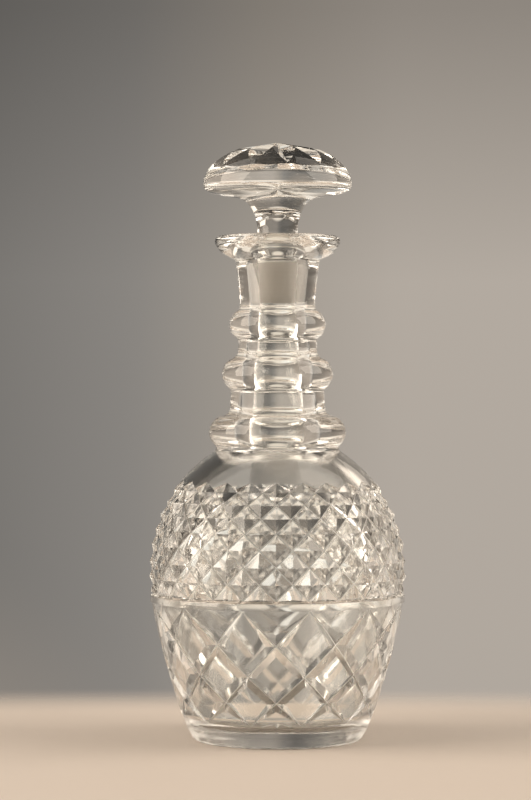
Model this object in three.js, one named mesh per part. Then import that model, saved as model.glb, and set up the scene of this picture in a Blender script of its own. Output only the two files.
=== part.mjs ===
// Cut-glass carafe: a thick-walled bottle with three neck collars and a solid stopper with a ground peg.
// Millimetres, +Z up. The origin is the middle of the base, on the surface that the bottle stands on.
// Azimuths are in degrees from the front (-Y), growing towards +X.
import * as THREE from "three";

// Columns round the glass: every ring of points has this many, so that neighbouring rings join one to one.
const COLUMNS = 48;
const COLUMN_ANGLE = 360 / COLUMNS;
// The cut pattern stands turned by this much from the front.
const PATTERN_TURN = -1;

// How finely the round stretches of the profiles are drawn, as points to each.
const SHOULDER_POINTS = 4;
const COLLAR_POINTS = 7;
const EDGE_POINTS = 5;
const BEND_POINTS = 4;
const INNER_POINTS = 12;
const STEM_POINTS = 7;

// Foot and base. The star under the base has one ray to every two columns.
const FOOT_RADIUS = 39.8;
const FOOT_TAPER = 2.4;
const FOOT_HEIGHT = 4.8;
const FOOT_BAND = 5.3;
const BASE_BEVEL = 0.8;
const BASE_RIM = 5.6;
const BASE_STAR_MEETING = 9.9;
const BASE_STAR_DEPTH = 1.6;

// Lower body: twelve lozenges round, each row given by its height above the row below.
const LOZENGE_COLUMNS = 4;
const LOZENGE_ROW_HEIGHTS = [10, 11.3, 13.7, 15.2];
const LOZENGE_FLAT = 0.67;
const LOZENGE_CUT = 2;
const LOWER_BULGE = 1.3;

// Belt between the two patterns, with the thin mitre cut above it.
const BELT_HEIGHT = 3.1;
const BELT_STAND = 0.3;
const MITRE_WIDTH = 1.8;
const MITRE_DEPTH = 0.9;

// Upper body: twenty-four pointed diamonds round, rows given from the mitre upwards.
const DIAMOND_ROW_HEIGHTS = [6.9, 7.2, 7.2, 6.8, 6.3, 5.7, 5.2];
const DIAMOND_CUT = 2.4;
const DIAMOND_RUNOUT = 4.1;
const DIAMOND_POINT = 1.5;
const MAX_RADIUS = 56.5;
const MAX_ABOVE_BELT = 10.6;
const SHOULDER_CURVE = 62;

// Glass thickness of the body.
const WALL = 6.5;
const BASE_THICKNESS = 7.5;
const INNER_CORNER = 7;
const INNER_FILLET = 7;

// Neck: collars from the shoulder up. Each is a round bead that stands out from the glass below it.
// Above it the neck is narrower by a step, and narrows by its taper over its length.
const NECK_ROOT_RADIUS = 26.5;
const NECK_ROOT_HEIGHT = 1;
const COLLAR_STANDS = [3.6, 4, 4];
const COLLAR_BEADS = [7.6, 7.6, 6.8];
const NECK_INSETS = [5.5, 3.1, 0.7];
const NECK_LENGTHS = [11.4, 8, 3.8];
const NECK_TAPERS = [0.6, 0.1, 0];
const FLARE_HEIGHT = 18.3;
const FLARE_RADIUS = 18.6;
const FLARE_HOLLOW = 0.1;

// Lip: a flat-topped collar with a half-round edge and a bell mouth.
const LIP_RADIUS = 27.6;
const LIP_EDGE = 2.5;
const LIP_HEIGHT = 10.4;
const LIP_SWELL = 1.6;
const LIP_UNDER_ANGLE = -40;
const MOUTH_RADIUS = 14.5;
const MOUTH_DEPTH = 11.6;
const MOUTH_SLOPE = 1;

// Bore below the ground seat, and the seat that the peg stands in.
const BORE_ROOT_RADIUS = 13;
const SEAT_RADIUS = 9;
const SEAT_TAPER = 1.3;
const SEAT_LENGTH = 18.4;
const SEAT_CLEARANCE = 0.3;

// Stopper: the stem above the lip, the flared underside, the rim and the domed top with its cut star.
const STOPPER_RADIUS = 32.7;
const STEM_HEIGHT = 17.2;
const STEM_FLARE = 10.8;
const STEM_SLOPE = 0.8;
const STEM_STRAIGHT = 1;
const UNDERSIDE_RISE = 1.6;
const UNDERSIDE_BORDER = 4.7;
const RIM_HEIGHT = 3.6;
const DOME_RISE = 18.6;
const STAR_RAYS = 12;
const STAR_BORDER = 2.8;
const STAR_POINT_LENGTH = 11.5;
const STAR_TURN = 8;
const PEG_BEVEL = 0.8;

const radians = THREE.MathUtils.degToRad;
const degrees = THREE.MathUtils.radToDeg;

/** Heights reached by stacking steps on a start, the start included. */
function stack(start, steps) {
  const heights = [start];
  for (const step of steps) {
    heights.push(heights[heights.length - 1] + step);
  }
  return heights;
}

// Heights and radii that follow from the sizes above.
const lozengeHeights = stack(FOOT_HEIGHT + FOOT_BAND, LOZENGE_ROW_HEIGHTS);
const patternFoot = lozengeHeights[0];
const beltFoot = lozengeHeights[LOZENGE_ROW_HEIGHTS.length];
const beltTop = beltFoot + BELT_HEIGHT;
const widestHeight = beltTop + MAX_ABOVE_BELT;
const shoulderAxis = MAX_RADIUS - SHOULDER_CURVE;
const beltBodyRadius = shoulderAxis + Math.sqrt(SHOULDER_CURVE ** 2 - MAX_ABOVE_BELT ** 2);
const beltRadius = beltBodyRadius + BELT_STAND;
const lowerTopRadius = beltBodyRadius - BELT_STAND;
const seatFootRadius = SEAT_RADIUS - SEAT_TAPER;
const starTipRadius = STOPPER_RADIUS - STAR_BORDER;
const starMeetingRadius = starTipRadius - STAR_POINT_LENGTH;

/** A point of the glass at an azimuth, a radius and a height. */
function place(azimuth, radius, height) {
  const turn = radians(azimuth);
  return new THREE.Vector3(radius * Math.sin(turn), -radius * Math.cos(turn), height);
}

/** Height at which the shoulder's arc, set in by some glass, comes down to a radius. */
function shoulderHeight(radius, inset = 0) {
  return widestHeight + Math.sqrt((SHOULDER_CURVE - inset) ** 2 - (radius - shoulderAxis) ** 2);
}

/** Outer radius of the body before any cutting: a slack arc below the belt and one round arc above it. */
function bodyRadius(height, inset = 0) {
  if (height > beltFoot) {
    return shoulderAxis + Math.sqrt((SHOULDER_CURVE - inset) ** 2 - (height - widestHeight) ** 2);
  }
  const share = (height - FOOT_HEIGHT) / (beltFoot - FOOT_HEIGHT);
  const straight = THREE.MathUtils.lerp(FOOT_RADIUS, lowerTopRadius, share);
  return straight + 4 * LOWER_BULGE * share * (1 - share) - inset;
}

/** A closed surface gathered from triangles. Equal points are shared and flattened triangles dropped. */
class Skin {
  constructor() {
    this.positions = [];
    this.faces = [];
    this.known = new Map();
  }

  index(point) {
    const key = point.toArray().map((value) => value.toFixed(5)).join(" ");
    if (!this.known.has(key)) {
      this.known.set(key, this.positions.length / 3);
      this.positions.push(point.x, point.y, point.z);
    }
    return this.known.get(key);
  }

  triangle(first, second, third) {
    const face = [first, second, third].map((point) => this.index(point));
    if (new Set(face).size === 3) {
      this.faces.push(...face);
    }
  }

  quad(first, second, third, fourth) {
    this.triangle(first, second, third);
    this.triangle(first, third, fourth);
  }

  /** Joins two rings. The crease of each quad leans to alternate sides, starting as lean says. */
  join(lower, upper, lean = 0) {
    for (let column = 0; column < COLUMNS; column += 1) {
      const next = (column + 1) % COLUMNS;
      if ((column + lean) % 2 === 0) {
        this.quad(lower[column], lower[next], upper[next], upper[column]);
      } else {
        this.quad(lower[next], upper[next], upper[column], lower[column]);
      }
    }
  }

  /** Joins a list of rings one after another. */
  joinAll(rings) {
    for (let step = 1; step < rings.length; step += 1) {
      this.join(rings[step - 1], rings[step]);
    }
  }

  geometry() {
    const geometry = new THREE.BufferGeometry();
    geometry.setAttribute("position", new THREE.Float32BufferAttribute(this.positions, 3));
    geometry.setIndex(this.faces);
    geometry.computeVertexNormals();
    return geometry;
  }
}

/** A ring of points whose radius and height come from the column's number. */
function ring(shape, turn = PATTERN_TURN) {
  return Array.from({ length: COLUMNS }, (_, column) => {
    const [radius, height] = shape(column);
    return place(turn + column * COLUMN_ANGLE, radius, height);
  });
}

/** Plain round rings, one for each point of a profile. */
function roundRings(profile, turn = PATTERN_TURN) {
  return profile.map((point) => ring(() => [point.x, point.y], turn));
}

/** Profile points on a circle from one angle to another, angles in degrees from straight out. */
function arc(radius, height, size, from, to, steps) {
  return Array.from({ length: steps + 1 }, (_, step) => {
    const angle = radians(THREE.MathUtils.lerp(from, to, step / steps));
    return new THREE.Vector2(radius + size * Math.cos(angle), height + size * Math.sin(angle));
  });
}

/** Profile points on a curve drawn from one point to another and pulled towards a corner. */
function bend(from, corner, to, steps) {
  return new THREE.QuadraticBezierCurve(from, corner, to).getPoints(steps);
}

/** A point of a profile. */
const point2 = (radius, height) => new THREE.Vector2(radius, height);

/** Base with its shallow star, from the middle of the star out to the foot's edge. */
function baseRings() {
  const bevelRadius = FOOT_RADIUS - FOOT_TAPER;
  const baseRadius = bevelRadius - BASE_BEVEL;
  return [
    ring(() => [0, BASE_STAR_DEPTH]),
    ring((column) => [column % 2 === 0 ? baseRadius - BASE_RIM : BASE_STAR_MEETING, 0]),
    ring(() => [baseRadius, 0]),
    ring(() => [bevelRadius, BASE_BEVEL]),
    ring(() => [FOOT_RADIUS, FOOT_HEIGHT]),
    ring(() => [bodyRadius(patternFoot), patternFoot]),
  ];
}

/** A spot of the lozenge pattern: azimuth, height and how deep the cut is there. */
function spot(azimuth, height, cut) {
  return { azimuth, height, cut };
}

/** A spot part of the way from one to another. */
function between(first, second, share) {
  const mix = (key) => THREE.MathUtils.lerp(first[key], second[key], share);
  return spot(mix("azimuth"), mix("height"), mix("cut"));
}

/** The raised corner next to a crossing of the cuts. A cut that has run out needs none. */
function raised(corner, centre) {
  return corner.cut === 0 ? corner : { ...between(corner, centre, 1 - LOZENGE_FLAT), cut: 0 };
}

/** The point of the glass at a spot. */
const onBody = (mark) => place(mark.azimuth, bodyRadius(mark.height) - mark.cut, mark.height);

/** Adds the flank of a cut between two crossings. Returns the three points of its raised edge. */
function flank(skin, from, to, centre) {
  const valley = between(from, to, 0.5);
  const edge = { ...between(raised(from, centre), raised(to, centre), 0.5), cut: 0 };
  const outer = [from, valley, to].map(onBody);
  const inner = [raised(from, centre), edge, raised(to, centre)].map(onBody);
  skin.quad(outer[0], outer[1], inner[1], inner[0]);
  skin.quad(outer[1], outer[2], inner[2], inner[1]);
  return inner;
}

/** A whole lozenge between four crossings, given anticlockwise as seen from outside. */
function lozenge(skin, corners, centre) {
  corners.forEach((corner, side) => {
    const inner = flank(skin, corner, corners[(side + 1) % corners.length], centre);
    skin.triangle(onBody(centre), inner[0], inner[1]);
    skin.triangle(onBody(centre), inner[1], inner[2]);
  });
}

/** Half a lozenge whose straight side lies on a plain ring: below the belt, or above the foot band. */
function halfLozenge(skin, left, right, tip, centre) {
  const half = (right.azimuth - left.azimuth) / 2;
  const ends = tip.height < centre.height ? [[tip, right], [left, tip]] : [[right, tip], [tip, left]];
  for (const [from, to] of ends) {
    const inner = flank(skin, from, to, centre);
    const side = from === right || to === right ? 1 : -1;
    const middle = onBody(spot(centre.azimuth + (side * half) / 2, centre.height, 0));
    skin.triangle(onBody(centre), inner[0], inner[1]);
    skin.triangle(onBody(centre), inner[1], inner[2]);
    if (from === tip) {
      skin.triangle(onBody(centre), inner[2], middle);
    } else {
      skin.triangle(onBody(centre), middle, inner[0]);
    }
  }
}

/** Lozenge zone of the lower body. Its cuts run out at the foot band and at the belt. */
function addLozenges(skin) {
  const reach = (LOZENGE_COLUMNS * COLUMN_ANGLE) / 2;
  const last = lozengeHeights.length - 1;
  const crossing = (row, azimuth) => {
    return spot(azimuth, lozengeHeights[row], row === 0 || row === last ? 0 : LOZENGE_CUT);
  };
  for (let number = 0; number < COLUMNS / LOZENGE_COLUMNS; number += 1) {
    const middle = PATTERN_TURN + 2 * reach * number;
    for (let row = 0; row <= last; row += 1) {
      const azimuth = row % 2 === 0 ? middle : middle + reach;
      const centre = spot(azimuth, lozengeHeights[row], 0);
      const left = crossing(row, azimuth - reach);
      const right = crossing(row, azimuth + reach);
      if (row === 0) {
        halfLozenge(skin, left, right, crossing(1, azimuth), centre);
      } else if (row === last) {
        halfLozenge(skin, left, right, crossing(last - 1, azimuth), centre);
      } else {
        lozenge(skin, [crossing(row - 1, azimuth), right, crossing(row + 1, azimuth), left], centre);
      }
    }
  }
}

/** Belt, mitre and diamond zone of the upper body. The cuts run out in a zigzag on the shoulder. */
function addDiamonds(skin) {
  const edge = ring(() => [lowerTopRadius, beltFoot]);
  const foot = ring(() => [beltRadius, beltFoot]);
  const belt = ring(() => [beltRadius, beltTop]);
  skin.joinAll([edge, foot, belt]);
  const mitre = beltTop + MITRE_WIDTH / 2;
  const cut = (column, row, height) => {
    const valley = (column + row) % 2 === 0;
    return [bodyRadius(height) - (valley ? DIAMOND_CUT : 0), height];
  };
  const valleys = ring((column) => {
    return column % 2 === 0 ? cut(column, 0, mitre) : [bodyRadius(mitre) - MITRE_DEPTH, mitre];
  });
  const points = ring((column) => {
    return column % 2 === 0 ? cut(column, 0, mitre) : cut(column, 0, beltTop + MITRE_WIDTH);
  });
  skin.join(belt, valleys);
  skin.join(valleys, points);
  const heights = stack(mitre, DIAMOND_ROW_HEIGHTS);
  const rows = DIAMOND_ROW_HEIGHTS.length;
  let lower = points;
  for (let row = 1; row <= rows; row += 1) {
    const upper = ring((column) => cut(column, row, heights[row]));
    skin.join(lower, upper, (row - 1) % 2);
    lower = upper;
  }
  const runout = ring((column) => {
    const height = heights[rows] + ((column + rows) % 2 === 0 ? DIAMOND_POINT : DIAMOND_RUNOUT);
    return [bodyRadius(height), height];
  });
  skin.join(lower, runout, rows % 2);
  return runout;
}

/** Adds a collar and the neck above it to a profile that has come up to the collar's foot. */
function addCollar(profile, { stand, bead, step, length, taper }) {
  const foot = profile[profile.length - 1];
  const core = foot.x + stand - bead;
  const neck = foot.x - step;
  const from = Math.acos((foot.x - core) / bead);
  const to = Math.acos((neck - core) / bead);
  const middle = foot.y + bead * Math.sin(from);
  profile.push(...arc(core, middle, bead, -degrees(from), degrees(to), COLLAR_POINTS).slice(1));
  profile.push(point2(neck - taper, middle + bead * Math.sin(to) + length));
}

/** Shoulder, collars, flare, lip and bell mouth: the outer profile above the patterns, down to the seat. */
function upperProfile(startHeight) {
  const profile = [];
  const root = shoulderHeight(NECK_ROOT_RADIUS);
  for (let step = 1; step <= SHOULDER_POINTS; step += 1) {
    const height = THREE.MathUtils.lerp(startHeight, root, step / SHOULDER_POINTS);
    profile.push(point2(bodyRadius(height), height));
  }
  profile.push(point2(NECK_ROOT_RADIUS, root + NECK_ROOT_HEIGHT));
  for (const [index, stand] of COLLAR_STANDS.entries()) {
    addCollar(profile, {
      stand,
      bead: COLLAR_BEADS[index],
      step: NECK_INSETS[index],
      length: NECK_LENGTHS[index],
      taper: NECK_TAPERS[index],
    });
  }
  const neck = profile[profile.length - 1];
  const crease = point2(FLARE_RADIUS, neck.y + FLARE_HEIGHT);
  profile.push(point2((neck.x + crease.x) / 2 - FLARE_HOLLOW, (neck.y + crease.y) / 2), crease);
  const lipTop = crease.y + LIP_HEIGHT;
  const edgeCore = LIP_RADIUS - LIP_EDGE;
  const edge = arc(edgeCore, lipTop - LIP_EDGE, LIP_EDGE, LIP_UNDER_ANGLE, 90, EDGE_POINTS);
  const swell = edge[0].clone().add(crease).multiplyScalar(0.5).add(point2(LIP_SWELL, -LIP_SWELL / 2));
  profile.push(...bend(crease, swell, edge[0], BEND_POINTS).slice(1), ...edge.slice(1));
  const seatTop = lipTop - MOUTH_DEPTH;
  const mouth = point2(MOUTH_RADIUS, lipTop);
  const seat = point2(SEAT_RADIUS, seatTop);
  const throat = point2(SEAT_RADIUS + MOUTH_SLOPE, lipTop - MOUTH_DEPTH / 4);
  profile.push(...bend(mouth, throat, seat, BEND_POINTS));
  return { profile, lipTop, seatTop };
}

/** Inside of the bottle from the foot of the ground seat down to the middle of the floor. */
function innerProfile(seatTop) {
  const seatFoot = seatTop - SEAT_LENGTH;
  const rootHeight = shoulderHeight(BORE_ROOT_RADIUS, WALL);
  const root = point2(BORE_ROOT_RADIUS, rootHeight);
  const shoulderEdge = BORE_ROOT_RADIUS + INNER_FILLET;
  const share = INNER_FILLET / (seatFoot - rootHeight);
  const boreRadius = THREE.MathUtils.lerp(BORE_ROOT_RADIUS, seatFootRadius, share);
  const profile = [point2(seatFootRadius, seatFoot)];
  const start = point2(boreRadius, rootHeight + INNER_FILLET);
  const end = point2(shoulderEdge, shoulderHeight(shoulderEdge, WALL));
  profile.push(...bend(start, root, end, BEND_POINTS));
  const corner = BASE_THICKNESS + INNER_CORNER;
  for (let step = 1; step <= INNER_POINTS; step += 1) {
    const turn = radians(90 * (step / INNER_POINTS));
    const height = THREE.MathUtils.lerp(corner, end.y, Math.cos(turn));
    profile.push(point2(bodyRadius(height, WALL), height));
  }
  const cornerRadius = bodyRadius(corner, WALL) - INNER_CORNER;
  profile.push(...arc(cornerRadius, corner, INNER_CORNER, 0, -90, BEND_POINTS).slice(1));
  profile.push(point2(0, BASE_THICKNESS));
  return profile;
}

/** The bottle as one closed solid, with the heights that the stopper is set by. */
function makeBottle() {
  const skin = new Skin();
  skin.joinAll(baseRings());
  addLozenges(skin);
  const runout = addDiamonds(skin);
  const tip = Math.max(...runout.map((point) => point.z));
  const upper = upperProfile(tip);
  skin.join(runout, roundRings(upper.profile)[0]);
  skin.joinAll(roundRings([...upper.profile, ...innerProfile(upper.seatTop)]));
  return { geometry: skin.geometry(), lipTop: upper.lipTop, seatTop: upper.seatTop };
}

/** Height of the stopper's dome above its rim at a radius. */
function domeRise(radius) {
  return DOME_RISE * Math.sqrt(1 - (radius / STOPPER_RADIUS) ** 2);
}

/** Radius at which a flank of a star ray comes out of the dome, at an azimuth from the ray's middle. */
function starEdge(offset) {
  const slope = (domeRise(starTipRadius) - DOME_RISE) / starTipRadius;
  const meet = radians(180 / STAR_RAYS);
  const across = starMeetingRadius * Math.sin(meet);
  const along = starMeetingRadius * Math.cos(meet);
  const bank = (domeRise(starMeetingRadius) - DOME_RISE - slope * along) / across;
  const turn = radians(offset);
  let low = starMeetingRadius / 2;
  let high = starTipRadius;
  for (let pass = 0; pass < 40; pass += 1) {
    const radius = (low + high) / 2;
    const fall = slope * radius * Math.cos(turn);
    const surface = DOME_RISE + fall + bank * radius * Math.sin(turn);
    if (surface > domeRise(radius)) {
      high = radius;
    } else {
      low = radius;
    }
  }
  return (low + high) / 2;
}

/** The solid stopper: peg, stem, flared underside, rim and dome with its star of mitre cuts. */
function makeStopper(lipTop, seatTop) {
  const pegFoot = seatTop - SEAT_LENGTH;
  const pegRadius = seatFootRadius - SEAT_CLEARANCE;
  const stemRadius = SEAT_RADIUS - SEAT_CLEARANCE;
  const flareTop = lipTop + STEM_HEIGHT;
  const underTop = flareTop + UNDERSIDE_RISE;
  const rim = underTop + RIM_HEIGHT;
  const flareEnd = point2(stemRadius + STEM_FLARE, flareTop);
  const stemTop = point2(stemRadius, lipTop + STEM_STRAIGHT);
  const stemCorner = point2(stemRadius + STEM_SLOPE, flareTop - STEM_SLOPE);
  const stem = bend(stemTop, stemCorner, flareEnd, STEM_POINTS);
  const underEdge = point2(STOPPER_RADIUS - UNDERSIDE_BORDER, underTop);
  const underCorner = point2(STOPPER_RADIUS, underTop + RIM_HEIGHT / 4);
  const underside = bend(underEdge, underCorner, point2(STOPPER_RADIUS, rim), BEND_POINTS);
  const profile = [
    point2(0, pegFoot),
    point2(pegRadius - PEG_BEVEL, pegFoot),
    point2(pegRadius, pegFoot + PEG_BEVEL),
    point2(stemRadius, seatTop),
    ...stem,
    ...underside,
  ];
  const domeTurn = Math.acos((starTipRadius + STAR_BORDER / 8) / STOPPER_RADIUS);
  for (const share of [1 / 3, 2 / 3, 1]) {
    const radius = STOPPER_RADIUS * Math.cos(domeTurn * share);
    profile.push(point2(radius, rim + domeRise(radius)));
  }
  const skin = new Skin();
  const rings = roundRings(profile, STAR_TURN);
  const spacing = COLUMNS / STAR_RAYS;
  const offsetOf = (column) => {
    const step = column % spacing;
    return Math.min(step, spacing - step) * COLUMN_ANGLE;
  };
  const rows = 3;
  for (let row = 1; row <= rows; row += 1) {
    rings.push(ring((column) => {
      const edge = starEdge(offsetOf(column));
      const radius = Math.max(edge, THREE.MathUtils.lerp(starTipRadius, starMeetingRadius, row / rows));
      return [radius, rim + domeRise(radius)];
    }, STAR_TURN));
  }
  rings.push(ring(() => [0, rim + DOME_RISE], STAR_TURN));
  skin.joinAll(rings);
  return skin.geometry();
}

/** Clear lead crystal. */
function glass(colour) {
  return new THREE.MeshStandardMaterial({
    color: colour,
    roughness: 0.03,
    metalness: 0,
    transparent: true,
    opacity: 0.35,
  });
}

const bottle = makeBottle();
const bottleMesh = new THREE.Mesh(bottle.geometry, glass("#eef1f0"));
bottleMesh.name = "bottle";
const stopperMesh = new THREE.Mesh(makeStopper(bottle.lipTop, bottle.seatTop), glass("#f2f4f4"));
stopperMesh.name = "stopper";

const carafe = new THREE.Group();
carafe.name = "carafe";
carafe.add(bottleMesh, stopperMesh);

export default carafe;
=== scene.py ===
"""Cut-glass carafe: a thick bottle of lead crystal with three neck collars and a solid stopper.

Sizes are in millimetres and azimuths in degrees from the front, growing towards +X.
"""
import logging
import math
from dataclasses import dataclass
from enum import Enum
from itertools import accumulate
from typing import NamedTuple

import bpy
from bpy.types import ID, Material, Mesh, Node, NodeSocket, NodeTree, Object
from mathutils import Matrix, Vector


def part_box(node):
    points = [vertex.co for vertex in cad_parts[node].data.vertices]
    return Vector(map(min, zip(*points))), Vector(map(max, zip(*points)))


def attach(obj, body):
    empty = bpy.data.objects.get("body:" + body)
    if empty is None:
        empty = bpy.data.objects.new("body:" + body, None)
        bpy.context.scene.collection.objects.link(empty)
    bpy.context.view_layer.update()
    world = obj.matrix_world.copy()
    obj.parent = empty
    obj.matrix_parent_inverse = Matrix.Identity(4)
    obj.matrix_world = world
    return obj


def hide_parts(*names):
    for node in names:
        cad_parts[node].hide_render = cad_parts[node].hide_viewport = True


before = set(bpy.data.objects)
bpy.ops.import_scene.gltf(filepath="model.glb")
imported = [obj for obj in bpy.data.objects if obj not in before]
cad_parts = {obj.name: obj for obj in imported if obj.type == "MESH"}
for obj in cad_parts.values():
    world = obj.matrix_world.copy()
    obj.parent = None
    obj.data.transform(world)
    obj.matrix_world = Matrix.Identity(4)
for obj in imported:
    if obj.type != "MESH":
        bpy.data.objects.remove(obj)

log = logging.getLogger("carafe")

MM = 0.001

# Every pattern on the glass repeats in wedges. A wedge has this many fine columns of faces, and a column
# of diamonds is this many of them wide.
WEDGES = 12
WEDGE_ANGLE = 360 / WEDGES
FINE_COLUMNS = 16
FINE_PER_DIAMOND = 4
DIAMOND_COLUMNS = FINE_COLUMNS // FINE_PER_DIAMOND
# Creases sharper than this stay crisp, as the wheel left them.
CREASE_ANGLE = 18
# Points that agree to this many decimals of a millimetre are one point of a mesh.
POINT_DECIMALS = 5

# Short names of types that recur.
Line = list[Vector]
Pair = tuple[float, float]
Triple = tuple[float, float, float]
Ramp = tuple[tuple[float, str], ...]


class Finish(Enum):
    """How a stretch of the glass was left by its maker. The values number the faces of a mesh."""

    POLISHED = 0
    GROUND = 1
    BLOWN = 2
    WHEELED = 3

    @property
    def label(self) -> str:
        """Name of the finish in the ring's tree."""
        return self.name.title()


Finishes = dict[Finish, Material]


class Mark(NamedTuple):
    """A spot of a cut pattern: azimuth, height, and how deep the cut is there."""

    azimuth: float
    height: float
    cut: float


class Knot(NamedTuple):
    """A corner of a diamond: where its flanks would meet, and where the worn wheel left the glass."""

    sharp: Vector
    floor: Vector


def place(azimuth: float, radius: float, height: float) -> Vector:
    """Point of the glass, from its azimuth, its distance from the axis and its height above the table."""
    turn = math.radians(azimuth)
    return Vector((radius * math.sin(turn), -radius * math.cos(turn), height))


def mix(first: float, second: float, share: float) -> float:
    """Value part of the way from one number to another."""
    return first + (second - first) * share


def mix_marks(first: Mark, second: Mark, share: float) -> Mark:
    """Spot of a pattern part of the way from one spot to another."""
    return Mark(*(mix(a, b, share) for a, b in zip(first, second)))


def shares(steps: int) -> list[float]:
    """Even shares from 0 to 1, both included."""
    return [step / steps for step in range(steps + 1)]


def stack(start: float, steps: tuple[float, ...]) -> list[float]:
    """Heights reached by stacking steps on a start, the start included."""
    return list(accumulate(steps, initial=start))


class Profile:
    """A line of (radius, height) points that a round stretch of the glass is turned from."""

    def __init__(self, radius: float, height: float) -> None:
        """Starts the line at a radius and a height."""
        self.points: Line = [Vector((radius, height))]
        self._eases: list[tuple[int, float]] = []

    @property
    def end(self) -> Vector:
        """Last point drawn so far."""
        return self.points[-1]

    def line(self, radius: float, height: float, steps: int = 1) -> "Profile":
        """Draws a straight stretch up to a radius and a height, divided into steps."""
        self.points += [self.end.lerp(Vector((radius, height)), share) for share in shares(steps)[1:]]
        return self

    def arc(self, centre: Vector, size: float, turns: Pair, steps: int) -> "Profile":
        """Draws part of a circle, whose first point must be the end of the line.

        Args:
            centre: Radius and height of the circle's middle.
            size: Radius of the circle.
            turns: First and last angle in degrees, from straight out and growing upwards.
            steps: Number of pieces that it is divided into.

        Returns:
            The profile itself.
        """
        for share in shares(steps)[1:]:
            angle = math.radians(mix(*turns, share))
            self.points.append(centre + Vector((math.cos(angle), math.sin(angle))) * size)
        return self

    def bend(self, corner: Vector, end: Vector, steps: int) -> "Profile":
        """Draws a curve, in steps, that is pulled towards a corner on its way to an end."""
        self.points += _bend_points(self.end, corner, end, steps)[1:]
        return self

    def ease(self, reach: float) -> "Profile":
        """Marks the last point as a corner that is rounded over this length on each side."""
        self._eases.append((len(self.points) - 1, reach))
        return self

    def drawn(self, ease_steps: int = 6) -> Line:
        """Finished line with its marked corners rounded.

        Args:
            ease_steps: Number of pieces in each rounded corner.

        Returns:
            The (radius, height) points in order.
        """
        points = list(self.points)
        for index, reach in reversed(self._eases):
            before, first = _walk(points, index, reach, -1)
            after, last = _walk(points, index, reach, 1)
            curve = _bend_points(before, points[index], after, ease_steps)
            points = points[: first + 1] + curve + points[last:]
        return points


def _bend_points(start: Vector, corner: Vector, end: Vector, steps: int) -> Line:
    """Points of a curve from start to end that leans to a corner."""
    return [start.lerp(corner, share).lerp(corner.lerp(end, share), share) for share in shares(steps)]


def _walk(points: Line, index: int, reach: float, step: int) -> tuple[Vector, int]:
    """Walks along a line from one of its points.

    Args:
        points: The line.
        index: Point to start from.
        reach: Length to walk.
        step: 1 to walk on, -1 to walk back.

    Returns:
        The point that is reached and the index of the next point past it.
    """
    while 0 <= index + step < len(points):
        here, there = points[index], points[index + step]
        span = (there - here).length
        if span > reach:
            return here.lerp(there, reach / span), index + step
        reach -= span
        index += step
    return points[index], index


class Wedge:
    """One repeating wedge of a piece: its points and faces, gathered before they become a mesh."""

    def __init__(self, start: float) -> None:
        """Starts an empty wedge.

        Args:
            start: Azimuth of its first border.
        """
        self.start = start
        self.points: Line = []
        self.faces: list[list[int]] = []
        self.finishes: list[int] = []
        self._known: dict[tuple[float, ...], int] = {}

    def azimuth(self, column: float) -> float:
        """Azimuth of a fine column, counted from the start of the wedge."""
        return self.start + column * WEDGE_ANGLE / FINE_COLUMNS

    def border(self, step: int) -> float:
        """Azimuth of a border between diamond columns, counted from the start of the wedge."""
        return self.azimuth(step * FINE_PER_DIAMOND)

    def index(self, point: Vector) -> int:
        """Number of a point in the wedge, which points at the same spot share.

        Args:
            point: The point, in millimetres.

        Returns:
            The number.
        """
        key = tuple(round(value, POINT_DECIMALS) + 0.0 for value in point)
        if key not in self._known:
            self._known[key] = len(self.points)
            self.points.append(point)
        return self._known[key]

    def face(self, *corners: Vector, finish: Finish = Finish.POLISHED) -> None:
        """Adds a face, unless it is flattened to a line.

        Args:
            corners: Its corners, anticlockwise as seen from outside the glass.
            finish: How the face was finished.
        """
        loop = list(dict.fromkeys(self.index(corner) for corner in corners))
        if len(loop) > 2:
            self.faces.append(loop)
            self.finishes.append(finish.value)

    def fan(self, apex: Vector, chain: Line) -> None:
        """Adds the triangles between one point and a chain of points."""
        for first, second in zip(chain, chain[1:]):
            self.face(apex, first, second)

    def column(self, row: Line, step: int) -> Line:
        """Points of a fine row that lie on one diamond column, its borders included."""
        return row[step * FINE_PER_DIAMOND : (step + 1) * FINE_PER_DIAMOND + 1]

    def row(self, radius: float, height: float) -> Line:
        """Points of a plain round row, one for each fine column."""
        return [place(self.azimuth(column), radius, height) for column in range(FINE_COLUMNS + 1)]

    def join(self, lower: Line, upper: Line, finish: Finish = Finish.POLISHED) -> None:
        """Joins two rows of points with four-sided faces.

        Args:
            lower: Row that comes first on the way from the base up the outside and down the inside.
            upper: Row that comes next.
            finish: How the faces were finished.
        """
        for first, second in zip(zip(lower, upper), zip(lower[1:], upper[1:])):
            self.face(first[0], second[0], second[1], first[1], finish=finish)

    def turn(self, row: Line, line: Line, finish: Finish = Finish.POLISHED) -> Line:
        """Turns a stretch of profile and joins it to the row before it.

        Args:
            row: Last row of points so far.
            line: The (radius, height) points of the stretch.
            finish: How the stretch was finished.

        Returns:
            The new last row.
        """
        for point in line:
            following = self.row(point.x, point.y)
            self.join(row, following, finish)
            row = following
        return row

    def mesh(self, name: str) -> Mesh:
        """Mesh of the wedge in metres, with the finish of each face marked.

        Args:
            name: Name of the mesh.

        Returns:
            The new mesh.
        """
        mesh = bpy.data.meshes.new(name)
        mesh.from_pydata([tuple(point * MM) for point in self.points], [], self.faces)
        marks = mesh.attributes.new("finish", "INT", "FACE")
        marks.data.foreach_set("value", self.finishes)
        mesh.update()
        return mesh


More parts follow.
